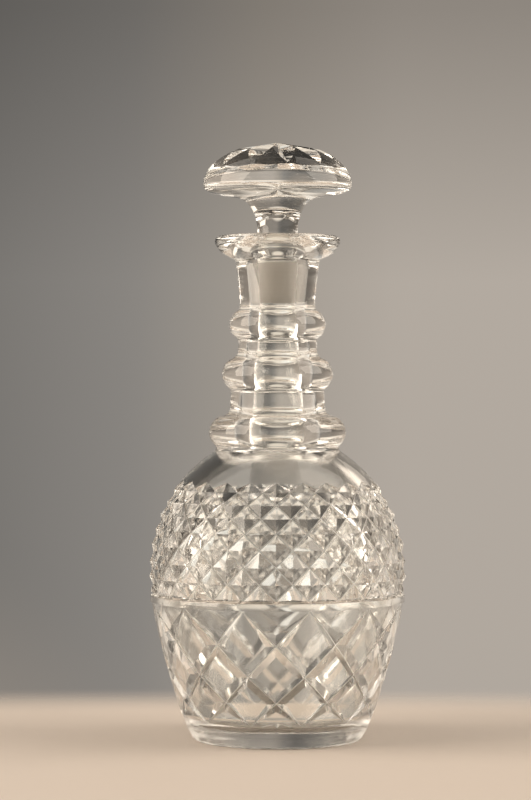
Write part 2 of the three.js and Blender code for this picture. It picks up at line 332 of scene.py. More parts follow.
def add_node(tree: NodeTree, kind: str, values: dict | None = None) -> Node:
    """Adds a node, sets it up and links it to the nodes before it.

    Args:
        tree: Tree that gets the node.
        kind: The node's type name.
        values: What it gets, by the name of an attribute or by the name or number of an input. An
            output socket is linked, and so is the first output of a node. Any other value is set.

    Returns:
        The new node.
    """
    node = tree.nodes.new(kind)
    rest = dict(values or {})
    for key in [key for key in rest if isinstance(key, str) and hasattr(node, key)]:
        setattr(node, key, rest.pop(key))
    for key, value in rest.items():
        source = value.outputs[0] if isinstance(value, Node) else value
        if isinstance(source, NodeSocket):
            tree.links.new(source, node.inputs[key])
        else:
            node.inputs[key].default_value = source
    return node


def add_object(name: str, data: ID) -> Object:
    """Adds an object to the scene, at the origin.

    Args:
        name: Its name.
        data: Its mesh, lamp or camera.

    Returns:
        The new object.
    """
    thing = bpy.data.objects.new(name, data)
    bpy.context.scene.collection.objects.link(thing)
    return thing


def linear(hex_colour: str) -> tuple[float, float, float, float]:
    """Linear colour of an sRGB hex value.

    Args:
        hex_colour: A value such as "#c0ffee".

    Returns:
        Red, green, blue and a full alpha.
    """
    parts = [int(hex_colour[start : start + 2], 16) / 255 for start in (1, 3, 5)]
    curve = [part / 12.92 if part <= 0.04045 else ((part + 0.055) / 1.055) ** 2.4 for part in parts]
    return (curve[0], curve[1], curve[2], 1.0)


@dataclass(frozen=True)
class Blotches:
    """Soft noise: the size of its blotches, how many finer layers lie over them, and how strong these are."""

    size_mm: float
    detail: float = 2.0
    finer: float = 0.5

    @property
    def values(self) -> dict[str, float]:
        """What a noise node gets."""
        return {"Scale": 1 / (self.size_mm * MM), "Detail": self.detail, "Roughness": self.finer}


@dataclass(frozen=True)
class Crystal:
    """Clear lead crystal. Noise in its gloss and a relief of its own tell its finishes apart."""

    name: str
    roughness: Pair
    gloss: Blotches
    gloss_window: Pair = (0.35, 0.65)
    gloss_stretch: Triple = (1.0, 1.0, 1.0)
    gloss_rises: bool = False
    relief: Blotches | None = None
    relief_share: float = 1.0
    relief_depth_mm: float = 0.0
    colour: str = "#fdfdfb"
    ior: float = 1.54

    def make(self) -> Material:
        """Makes the finish as a material.

        Returns:
            The new material.
        """
        material = bpy.data.materials.new(self.name)
        material.use_nodes = True
        tree = material.node_tree
        tree.nodes.clear()
        spot = add_node(tree, "ShaderNodeTexCoord").outputs["Object"]
        drawn = add_node(tree, "ShaderNodeMapping", {"Scale": self.gloss_stretch, "Vector": spot})
        shine = add_node(tree, "ShaderNodeTexNoise", {"Vector": drawn, **self.gloss.values})
        ends = dict(enumerate((*self.gloss_window, *self.roughness), 1))
        glass = {"Base Color": linear(self.colour), "IOR": self.ior, "Transmission Weight": 1.0}
        glass["Roughness"] = add_node(tree, "ShaderNodeMapRange", {"Value": shine, **ends})
        if self.relief:
            noise = add_node(tree, "ShaderNodeTexNoise", {"Vector": spot, **self.relief.values})
            parts = {0: noise, 1: self.relief_share, 2: shine if self.gloss_rises else 0.0}
            height = add_node(tree, "ShaderNodeMath", {"operation": "MULTIPLY_ADD", **parts})
            bump = {"Strength": 1.0, "Distance": self.relief_depth_mm * MM, "Height": height}
            glass["Normal"] = add_node(tree, "ShaderNodeBump", bump)
        shader = add_node(tree, "ShaderNodeBsdfPrincipled", glass)
        add_node(tree, "ShaderNodeOutputMaterial", {"Surface": shader})
        return material


@dataclass(frozen=True)
class PolishedCrystal(Crystal):
    """Lead crystal, cut on the wheel and acid polished: clear, bright and slightly uneven to the touch."""

    name: str = "lead crystal, acid polished"
    # Finger marks and polishing smears only soften the gloss here and there.
    roughness: Pair = (0.0, 0.012)
    gloss: Blotches = Blotches(14.0, 3.0, 0.55)
    gloss_window: Pair = (0.45, 0.75)
    # The long ripples of thick blown glass bend what is seen through it.
    relief: Blotches | None = Blotches(9.0, 1.0, 0.4)
    relief_depth_mm: float = 0.006


@dataclass(frozen=True)
class GroundCrystal(Crystal):
    """Lead crystal, ground with fine emery where peg and neck meet: satin, with rings from the turning."""

    name: str = "lead crystal, emery ground"
    # The satin blurs what lies behind, and reads as a pale grey band.
    roughness: Pair = (0.5, 0.65)
    colour: str = "#ece7e0"
    # The gloss noise is drawn out into rings: it changes fast along Z and slowly across.
    gloss: Blotches = Blotches(1.1, 4.0, 0.7)
    gloss_stretch: Triple = (0.04, 0.04, 1.0)
    # The rings stand out in the relief as well, with the grain of the emery over them. Real grain is under
    # 0.1 mm, too fine to show, so it is drawn coarser.
    gloss_rises: bool = True
    relief: Blotches | None = Blotches(0.5)
    relief_share: float = 0.35
    relief_depth_mm: float = 0.02


@dataclass(frozen=True)
class BlownCrystal(Crystal):
    """Lead crystal as the blowpipe left it in the chamber and the bore: soft, rippled and never cut."""

    name: str = "lead crystal, as blown"
    # A breath of lime from years of use lies in slow clouds, and softens what is seen through it.
    roughness: Pair = (0.08, 0.12)
    gloss: Blotches = Blotches(22.0, 3.0)
    relief: Blotches | None = Blotches(11.0, 1.0, 0.4)
    relief_depth_mm: float = 0.09


@dataclass(frozen=True)
class WheeledCrystal(Crystal):
    """Lead crystal in the narrow floor of a cut, where the stone wheel's edge left fine scratches."""

    name: str = "lead crystal, wheel cut"
    # The scratches gather light from all round, so the floors of the cuts read as pale lines. Real ones
    # are hair thin, too fine to show, so they are drawn coarser.
    roughness: Pair = (0.25, 0.4)
    gloss: Blotches = Blotches(0.6)
    colour: str = "#fbfaf6"


@dataclass(frozen=True)
class WedgeRing:
    """Geometry Nodes tree that sets copies of a wedge round the axis and welds them into one skin."""

    name: str = "wedges round the axis"
    weld_mm: float = 0.003

    def tree(self) -> NodeTree:
        """Builds the tree, with named inputs for the count, the weld and each finish.

        Returns:
            The new tree.
        """
        tree = bpy.data.node_groups.new(self.name, "GeometryNodeTree")
        labels = {"Geometry": "Geometry", "Copies": "Int", "Weld": "Float"}
        labels |= {finish.label: "Material" for finish in Finish}
        for label, kind in labels.items():
            tree.interface.new_socket(label, in_out="INPUT", socket_type=f"NodeSocket{kind}")
        tree.interface.new_socket("Geometry", in_out="OUTPUT", socket_type="NodeSocketGeometry")
        inlet = add_node(tree, "NodeGroupInput").outputs
        spots = add_node(tree, "GeometryNodePoints", {"Count": inlet["Copies"]})
        number = add_node(tree, "GeometryNodeInputIndex")
        step = add_node(tree, "ShaderNodeMath", {"operation": "DIVIDE", 0: math.tau, 1: inlet["Copies"]})
        angle = add_node(tree, "ShaderNodeMath", {"operation": "MULTIPLY", 0: number, 1: step})
        upright = add_node(tree, "ShaderNodeCombineXYZ", {"Z": angle})
        turned = add_node(tree, "FunctionNodeEulerToRotation", {"Euler": upright})
        ring = {"Points": spots, "Instance": inlet["Geometry"], "Rotation": turned}
        copies = add_node(tree, "GeometryNodeInstanceOnPoints", ring)
        real = add_node(tree, "GeometryNodeRealizeInstances", {"Geometry": copies})
        weld = {"Geometry": real, "Distance": inlet["Weld"]}
        skin = add_node(tree, "GeometryNodeMergeByDistance", weld)
        marks = add_node(tree, "GeometryNodeInputNamedAttribute", {"data_type": "INT", "Name": "finish"})
        for finish in Finish:
            same = {"data_type": "INT", "operation": "EQUAL", 2: marks.outputs["Attribute"], 3: finish.value}
            chosen = add_node(tree, "FunctionNodeCompare", same)
            dress = {"Geometry": skin, "Selection": chosen, "Material": inlet[finish.label]}
            skin = add_node(tree, "GeometryNodeSetMaterial", dress)
        add_node(tree, "NodeGroupOutput", {"Geometry": skin})
        return tree

    def make(self, wedge: Wedge, name: str, finishes: Finishes) -> Object:
        """Turns a wedge into a whole piece with a plain mesh.

        Args:
            wedge: The wedge that repeats.
            name: Name of the piece.
            finishes: Material for each finish.

        Returns:
            The new object, at the origin, unturned and unscaled.
        """
        piece = add_object(name, wedge.mesh(name))
        modifier = piece.modifiers.new("ring", "NODES")
        modifier.node_group = self.tree()
        values = {"Copies": WEDGES, "Weld": self.weld_mm * MM}
        values |= {finish.label: material for finish, material in finishes.items()}
        for item in modifier.node_group.interface.items_tree:
            if item.in_out == "INPUT" and item.name in values:
                modifier[item.identifier] = values[item.name]
        evaluated = piece.evaluated_get(bpy.context.evaluated_depsgraph_get())
        mesh = bpy.data.meshes.new_from_object(evaluated)
        piece.modifiers.remove(modifier)
        piece.data = mesh
        mesh.name = name
        mesh.polygons.foreach_set("use_smooth", [True] * len(mesh.polygons))
        mesh.set_sharp_from_angle(angle=math.radians(CREASE_ANGLE))
        return piece


@dataclass(frozen=True)
class Body:
    """The blown body before any cutting: a slack arc below the belt and one round arc above it."""

    foot_radius: float = 39.8
    foot_height: float = 4.8
    foot_band: float = 5.3
    lower_bulge: float = 1.3
    lozenge_steps: tuple[float, ...] = (10, 11.3, 13.7, 15.2)
    belt_height: float = 3.1
    belt_stand: float = 0.3
    greatest_radius: float = 56.5
    greatest_above_belt: float = 10.6
    shoulder_curve: float = 62

    @property
    def lozenge_heights(self) -> list[float]:
        """Heights of the crossings of the lower cuts."""
        return stack(self.foot_height + self.foot_band, self.lozenge_steps)

    @property
    def belt_foot(self) -> float:
        """Height of the belt's lower edge."""
        return self.lozenge_heights[-1]

    @property
    def belt_top(self) -> float:
        """Height of the belt's upper edge."""
        return self.belt_foot + self.belt_height

    @property
    def shoulder_middle(self) -> Vector:
        """Radius and height of the middle of the shoulder's arc."""
        return Vector((self.greatest_radius - self.shoulder_curve, self.belt_top + self.greatest_above_belt))

    @property
    def belt_body_radius(self) -> float:
        """Radius of the uncut glass under the belt."""
        return self.shoulder_middle.x + math.sqrt(self.shoulder_curve**2 - self.greatest_above_belt**2)

    def radius(self, height: float, inset: float = 0) -> float:
        """Radius of the body at a height.

        Args:
            height: Height above the table.
            inset: Thickness of glass that is left out, for the inside of the wall.

        Returns:
            The radius.
        """
        if height > self.belt_foot:
            middle = self.shoulder_middle
            return middle.x + math.sqrt((self.shoulder_curve - inset) ** 2 - (height - middle.y) ** 2)
        share = (height - self.foot_height) / (self.belt_foot - self.foot_height)
        straight = mix(self.foot_radius, self.belt_body_radius - self.belt_stand, share)
        return straight + 4 * self.lower_bulge * share * (1 - share) - inset

    def shoulder_height(self, radius: float, inset: float = 0) -> float:
        """Height at which the shoulder's arc, set in by some glass, comes down to a radius."""
        middle = self.shoulder_middle
        return middle.y + math.sqrt((self.shoulder_curve - inset) ** 2 - (radius - middle.x) ** 2)

    def point(self, mark: Mark) -> Vector:
        """Point of the cut glass at a spot of a pattern."""
        return place(mark.azimuth, self.radius(mark.height) - mark.cut, mark.height)


@dataclass(frozen=True)
class Foot:
    """Flat base with a shallow star under it, and the plain band above the table."""

    body: Body
    taper: float = 2.4
    bevel: float = 0.8
    rim: float = 5.6
    star_meeting: float = 9.9
    star_depth: float = 1.6
    bevel_ease: float = 0.4
    band_ease: float = 0.8
    band_steps: int = 4

    def add(self, wedge: Wedge) -> Line:
        """Adds the base and the band to a wedge.

        Args:
            wedge: Wedge that gets them.

        Returns:
            The last row of points, at the foot of the lozenges.
        """
        edge = self.body.foot_radius - self.taper
        flat = edge - self.bevel
        centre = place(0, 0, self.star_depth)
        outer = wedge.row(flat, 0)
        star = []
        for step in range(DIAMOND_COLUMNS + 1):
            star.append(place(wedge.border(step), self.star_meeting if step % 2 else flat - self.rim, 0))
        for step, (first, second) in enumerate(zip(star, star[1:])):
            wedge.face(centre, second, first)
            chain = wedge.column(outer, step)[::-1]
            if step % 2:
                wedge.fan(second, [*chain, first])
            else:
                wedge.fan(first, [second, *chain])
        top = self.body.lozenge_heights[0]
        line = Profile(flat, 0)
        line.line(edge, self.bevel).ease(self.bevel_ease)
        line.line(self.body.foot_radius, self.body.foot_height, self.band_steps).ease(self.band_ease)
        line.line(self.body.radius(top), top, self.band_steps)
        return wedge.turn(outer, line.drawn()[1:])


@dataclass(frozen=True)
class LozengeCut:
    """Lower body: twelve lozenges round, between mitre cuts that run out at the foot and the belt."""

    body: Body
    flat: float = 0.67
    cut: float = 2.0
    floor: float = 0.13
    steps: int = 8

    def add(self, wedge: Wedge) -> None:
        """Adds the lozenge zone to a wedge.

        Args:
            wedge: Wedge that gets it.
        """
        heights = self.body.lozenge_heights
        last = len(heights) - 1
        reach = WEDGE_ANGLE / 2
        middle = wedge.start + reach

        def crossing(row: int, azimuth: float) -> Mark:
            """Spot where two cuts cross."""
            return Mark(azimuth, heights[row], 0 if row in (0, last) else self.cut)

        for row, height in enumerate(heights):
            azimuth = middle + (reach if row % 2 else 0)
            centre = Mark(azimuth, height, 0)
            left = crossing(row, azimuth - reach)
            right = crossing(row, azimuth + reach)
            if row == 0:
                self._half(wedge, (left, right, crossing(1, azimuth)), centre)
            elif row == last:
                self._half(wedge, (left, right, crossing(last - 1, azimuth)), centre)
            else:
                above = crossing(row + 1, azimuth)
                self._whole(wedge, (crossing(row - 1, azimuth), right, above, left), centre)

    def _raised(self, corner: Mark, centre: Mark) -> Mark:
        """Raised corner next to a crossing of the cuts. A cut that has run out needs none."""
        raised = mix_marks(corner, centre, 1 - self.flat)._replace(cut=0)
        return raised if corner.cut else corner

    def _flanks(self, wedge: Wedge, outer: tuple[Mark, ...], inner: tuple[Mark, ...]) -> None:
        """Adds the sides of the cuts along a lozenge, from their narrow floors up to its edges.

        Args:
            wedge: Wedge that gets them.
            outer: Crossings of the cuts, in order round the lozenge.
            inner: Raised corner beside each crossing.
        """
        for ends, edges in zip(zip(outer, outer[1:]), zip(inner, inner[1:])):
            rows: list[Line] = [[], [], []]
            for share in shares(self.steps):
                valley, edge = mix_marks(*ends, share), mix_marks(*edges, share)
                rise = min(self.floor, valley.cut / 2)
                foot = mix_marks(valley, edge, rise / valley.cut if valley.cut else 0)
                middle = valley._replace(cut=valley.cut - rise)
                for row, mark in zip(rows, (middle, foot, edge)):
                    row.append(self.body.point(mark))
            wedge.join(rows[0], rows[1], Finish.WHEELED)
            wedge.join(rows[1], rows[2])

    def _whole(self, wedge: Wedge, corners: tuple[Mark, ...], centre: Mark) -> None:
        """Adds a lozenge between four crossings.

        Args:
            wedge: Wedge that gets it.
            corners: Bottom, right, top and left crossing.
            centre: Middle of the lozenge.
        """
        raised = [self._raised(corner, centre) for corner in corners]
        self._flanks(wedge, (*corners, corners[0]), (*raised, raised[0]))
        bottom, right, top, left = raised
        rows = []
        for share in shares(self.steps):
            near, far = mix_marks(bottom, left, share), mix_marks(right, top, share)
            rows.append([self.body.point(mix_marks(near, far, across)) for across in shares(self.steps)])
        for lower, upper in zip(rows, rows[1:]):
            wedge.join(lower, upper)

    def _half(self, wedge: Wedge, corners: tuple[Mark, ...], centre: Mark) -> None:
        """Adds half a lozenge, whose straight side lies on a plain row.

        Args:
            wedge: Wedge that gets it.
            corners: Left and right end of the straight side, and the tip.
            centre: Middle of the straight side.
        """
        left, right, tip = corners
        top = self._raised(tip, centre)
        upright = tip.height > centre.height
        first, last = (right, left) if upright else (left, right)
        self._flanks(wedge, (first, tip, last), (first, top, last))
        rows = []
        for step, share in enumerate(shares(self.steps)):
            near, far = mix_marks(left, top, share), mix_marks(right, top, share)
            count = 2 * (self.steps - step)
            stops = shares(count) if count else [0]
            rows.append([self.body.point(mix_marks(near, far, across)) for across in stops])
        for lower, upper in zip(rows, rows[1:]):
            loops = [[lower[0], lower[1], upper[0]]]
            for column in range(1, len(lower) - 2):
                loops.append([lower[column], lower[column + 1], upper[column], upper[column - 1]])
            loops.append([lower[-2], lower[-1], upper[-1]])
            for loop in loops:
                wedge.face(*(loop if upright else loop[::-1]))


@dataclass(frozen=True)
class DiamondCut:
    """Belt, the mitre cut above it, and the pointed diamonds up to their zigzag on the shoulder."""

    body: Body
    steps: tuple[float, ...] = (6.9, 7.2, 7.2, 6.8, 6.3, 5.7, 5.2)
    cut: float = 2.4
    floor: float = 0.11
    mitre_width: float = 1.8
    mitre_depth: float = 0.9
    point_runout: float = 1.5
    cut_runout: float = 4.1
    belt_ease: float = 0.25
    belt_slope: Pair = (0.5, 0.3)
    belt_steps: int = 2
    belt_ease_steps: int = 3

    def add(self, wedge: Wedge, row: Line) -> Line:
        """Adds the belt and the diamonds to a wedge.

        Args:
            wedge: Wedge that gets them.
            row: Fine row of points under the belt.

        Returns:
            The fine zigzag row where the cuts run out.
        """
        body = self.body
        radius = body.belt_body_radius + body.belt_stand
        belt = Profile(body.belt_body_radius - body.belt_stand, body.belt_foot)
        belt.line(radius, body.belt_foot).ease(self.belt_ease)
        belt.line(radius, body.belt_top, self.belt_steps).ease(self.belt_ease)
        # The last point only gives the belt's upper edge its slope. The mitre cut takes its place.
        belt.line(radius - self.belt_slope[0], body.belt_top + self.belt_slope[1])
        row = wedge.turn(row, belt.drawn(self.belt_ease_steps)[1:-1])
        mitre = body.belt_top + self.mitre_width / 2
        lower = self._knots(wedge, 0, mitre)
        valleys = [knot.floor for knot in lower]
        for step in range(1, len(valleys), 2):
            valleys[step] = place(wedge.border(step), body.radius(mitre) - self.mitre_depth, mitre)
        fine = []
        for first, second in zip(valleys, valleys[1:]):
            fine += [first.lerp(second, part / FINE_PER_DIAMOND) for part in range(FINE_PER_DIAMOND)]
        fine.append(valleys[-1])
        wedge.join(row, fine)
        points = self._knots(wedge, 0, body.belt_top + self.mitre_width)
        lower[1::2] = points[1::2]
        for step in range(DIAMOND_COLUMNS):
            chain = wedge.column(fine, step)
            if step % 2:
                foot = self._foot(lower[step + 1], lower[step])
                wedge.fan(lower[step].sharp, [*chain, foot])
            else:
                foot = self._foot(lower[step], lower[step + 1])
                wedge.fan(lower[step + 1].sharp, [foot, *chain])
        heights = stack(mitre, self.steps)
        for number in range(1, len(heights)):
            upper = self._knots(wedge, number, heights[number])
            for step in range(DIAMOND_COLUMNS):
                ring = [lower[step], lower[step + 1], upper[step + 1], upper[step]]
                first = (step + number) % 2
                for peak in (first, first + 2):
                    self._facet(wedge, ring[peak], ring[(peak + 1) % len(ring)], ring[peak - 1])
            lower = upper
        return self._run_out(wedge, lower, heights[-1])

    def _knots(self, wedge: Wedge, number: int, height: float) -> list[Knot]:
        """Crossings of the cuts and points of the diamonds in one row.

        Args:
            wedge: Wedge that they belong to.
            number: Number of the row from the mitre upwards.
            height: Height of the row.

        Returns:
            A knot for each diamond column, both borders included.
        """
        knots = []
        for step in range(DIAMOND_COLUMNS + 1):
            cuts = (self.cut, self.cut - self.floor) if (step + number) % 2 == 0 else (0, 0)
            knots.append(Knot(*(self.body.point(Mark(wedge.border(step), height, cut)) for cut in cuts)))
        return knots

    def _foot(self, crossing: Knot, peak: Knot) -> Vector:
        """Point where the ridge from a diamond's peak meets the floor of the cuts."""
        return crossing.sharp.lerp(peak.sharp, self.floor / self.cut)

    def _facet(self, wedge: Wedge, peak: Knot, first: Knot, second: Knot) -> None:
        """Adds one side of a diamond and the strip of cut floor below it.

        Args:
            wedge: Wedge that gets them.
            peak: Point of the diamond.
            first: One crossing of the cuts beside it.
            second: The other crossing.
        """
        feet = self._foot(first, peak), self._foot(second, peak)
        wedge.face(peak.sharp, *feet)
        wedge.face(feet[0], first.floor, second.floor, feet[1], finish=Finish.WHEELED)

    def _run_out(self, wedge: Wedge, lower: list[Knot], height: float) -> Line:
        """Adds the ends of the cuts.

        Args:
            wedge: Wedge that gets them.
            lower: Last row of knots.
            height: Height of that row.

        Returns:
            The fine zigzag row where the plain shoulder starts.
        """
        fine = []
        for column in range(FINE_COLUMNS + 1):
            step, part = divmod(column, FINE_PER_DIAMOND)
            rise = mix(self._rise(step), self._rise(step + 1), part / FINE_PER_DIAMOND)
            fine.append(self.body.point(Mark(wedge.azimuth(column), height + rise, 0)))
        for step in range(DIAMOND_COLUMNS):
            chain = wedge.column(fine, step)[::-1]
            left, right = lower[step], lower[step + 1]
            if self._is_valley(step):
                wedge.fan(left.floor, [self._foot(left, right), right.sharp, *chain])
            else:
                wedge.fan(right.floor, [*chain, left.sharp, self._foot(right, left)])
        return fine

    def _is_valley(self, step: int) -> bool:
        """Whether two cuts cross on a column of the last row."""
        return (step + len(self.steps)) % 2 == 0

    def _rise(self, step: int) -> float:
        """How far above the last row the cuts reach on a column."""
        return self.point_runout if self._is_valley(step) else self.cut_runout


@dataclass(frozen=True)
class Collar:
    """One round bead of the neck and the narrower stretch of neck above it."""

    stand: float
    bead: float
    step: float
    length: float
    taper: float
    hollow: float
    foot_ease: float = 1.4
    bead_steps: int = 22
    neck_steps: int = 4

    def draw(self, line: Profile) -> None:
        """Draws the collar on a profile.

        Args:
            line: The profile, which has come up to the collar's foot.
        """
        foot = line.end
        core = foot.x + self.stand - self.bead
        neck = foot.x - self.step
        lower = math.acos((foot.x - core) / self.bead)
        upper = math.acos((neck - core) / self.bead)
        middle = Vector((core, foot.y + self.bead * math.sin(lower)))
        turns = (-math.degrees(lower), math.degrees(upper))
        line.ease(self.foot_ease).arc(middle, self.bead, turns, self.bead_steps).ease(self.hollow)
        line.line(neck - self.taper, line.end.y + self.length, self.neck_steps)


@dataclass(frozen=True)
class Neck:
    """Plain shoulder, three collars, the flare over the ground seat, and the flat lip."""

    body: Body
    root_radius: float = 26.5
    root_height: float = 1
    collars: tuple[Collar, ...] = (
        Collar(3.6, 7.6, 5.5, 11.4, 0.6, 4.2),
        Collar(4, 7.6, 3.1, 8, 0.1, 3.8),
        Collar(4, 6.8, 0.7, 3.8, 0, 2.2),
    )
    flare_height: float = 18.3
    flare_radius: float = 18.6
    flare_hollow: float = 0.1
    lip_radius: float = 27.6
    lip_edge: float = 2.5
    lip_height: float = 10.4
    lip_swell: float = 2.1
    lip_under_angle: float = -40
    mouth_radius: float = 14.5
    mouth_depth: float = 11.6
    mouth_slope: float = 1
    seat_radius: float = 9
    seat_taper: float = 1.3
    seat_length: float = 18.4
    root_ease: float = 1.5
    collar_ease: float = 0.4
    crease_ease: float = 0.9
    lip_ease: float = 0.8
    mouth_ease: float = 1.6
    curve_steps: int = 8
    round_steps: int = 14
    mouth_steps: int = 6

    def outline(self, start_height: float) -> Profile:
        """Draws the outside from the zigzag of the diamonds up to the lip and down to the seat.

        Args:
            start_height: Height of the tips of the zigzag.

        Returns:
            The profile, which ends at the top of the ground seat.
        """
        root = self.body.shoulder_height(self.root_radius)
        line = Profile(self.body.radius(start_height), start_height)
        for share in shares(self.round_steps)[1:]:
            height = mix(start_height, root, share)
            line.line(self.body.radius(height), height)
        line.ease(self.root_ease)
        line.line(self.root_radius, root + self.root_height)
        for collar in self.collars:
            collar.draw(line)
        line.ease(self.collar_ease)
        neck, crease = line.end, Vector((self.flare_radius, line.end.y + self.flare_height))
        middle = (neck + crease) / 2 + Vector((-2 * self.flare_hollow, 0))
        line.bend(middle, crease, self.curve_steps).ease(self.crease_ease)
        top = crease.y + self.lip_height
        core = Vector((self.lip_radius - self.lip_edge, top - self.lip_edge))
        under = math.radians(self.lip_under_angle)
        edge = core + Vector((math.cos(under), math.sin(under))) * self.lip_edge
        swell = (edge + crease) / 2 + Vector((self.lip_swell, -self.lip_swell / 2))
        line.bend(swell, edge, self.curve_steps).ease(self.lip_ease)
        line.arc(core, self.lip_edge, (self.lip_under_angle, 90), self.round_steps)
        line.line(self.mouth_radius, top, self.mouth_steps).ease(self.mouth_ease)
        seat = Vector((self.seat_radius, top - self.mouth_depth))
        throat = Vector((self.seat_radius + self.mouth_slope, top - self.mouth_depth / 4))
        return line.bend(throat, seat, self.round_steps)


@dataclass(frozen=True)
class Inside:
    """The chamber: bore below the ground seat, fillet, wall of even thickness, and the thick floor."""

    body: Body
    wall: float = 6.5
    base_thickness: float = 7.5
    corner: float = 7
    fillet: float = 7
    bore_root_radius: float = 13
    curve_steps: int = 12
    wall_steps: int = 40
    floor_steps: int = 8

    @property
    def bore_root(self) -> Vector:
        """Radius and height at which the lines of the bore and the shoulder would meet."""
        radius = self.bore_root_radius
        return Vector((radius, self.body.shoulder_height(radius, self.wall)))

    def bore(self, seat_foot: Vector) -> Profile:
        """Draws the bore from the foot of the ground seat down to the inside of the shoulder.

        Args:
            seat_foot: Radius and height of the seat's lower end.

        Returns:
            The profile.
        """
        root, line = self.bore_root, Profile(*seat_foot)
        share = self.fillet / (seat_foot.y - root.y)
        line.line(mix(root.x, seat_foot.x, share), root.y + self.fillet, self.curve_steps)
        shoulder = root.x + self.fillet
        end = Vector((shoulder, self.body.shoulder_height(shoulder, self.wall)))
        return line.bend(root, end, self.curve_steps)

    def chamber(self) -> Profile:
        """Draws the chamber from the inside of the shoulder down to the middle of the floor.

        Returns:
            The profile.
        """
        shoulder = self.bore_root.x + self.fillet
        line = Profile(shoulder, self.body.shoulder_height(shoulder, self.wall))
        top, foot = line.end.y, self.base_thickness + self.corner
        for share in shares(self.wall_steps)[1:]:
            height = mix(foot, top, math.cos(math.radians(90 * share)))
            line.line(self.body.radius(height, self.wall), height)
        core = Vector((self.body.radius(foot, self.wall) - self.corner, foot))
        line.arc(core, self.corner, (0, -90), self.curve_steps)
        return line.line(0, self.base_thickness, self.floor_steps)


@dataclass(frozen=True)
class Bottle:
    """The bottle: foot, two zones of cutting with a belt between them, collared neck and chamber."""

    body: Body = Body()
    pattern_turn: float = -1
    seat_steps: int = 8

    def build(self, finishes: Finishes) -> Object:
        """Builds the bottle in the space of its solid.

        Args:
            finishes: Material for each finish.

        Returns:
            The piece.
        """
        wedge = Wedge(self.pattern_turn - WEDGE_ANGLE / 2)
        Foot(self.body).add(wedge)
        LozengeCut(self.body).add(wedge)
        belt_row = wedge.row(self.body.belt_body_radius - self.body.belt_stand, self.body.belt_foot)
        zigzag = DiamondCut(self.body).add(wedge, belt_row)
        neck = Neck(self.body)
        outline = neck.outline(max(point.z for point in zigzag))
        row = wedge.turn(zigzag, outline.drawn()[1:])
        seat = Profile(*outline.end)
        seat_foot = outline.end.y - neck.seat_length
        seat.line(neck.seat_radius - neck.seat_taper, seat_foot, self.seat_steps)
        row = wedge.turn(row, seat.drawn()[1:], Finish.GROUND)
        inside = Inside(self.body)
        row = wedge.turn(row, inside.bore(seat.end).drawn()[1:], Finish.BLOWN)
        wedge.turn(row, inside.chamber().drawn()[1:], Finish.BLOWN)
        piece = WedgeRing().make(wedge, "bottle_glass", finishes)
        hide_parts("bottle")
        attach(piece, "bottle")
        return piece


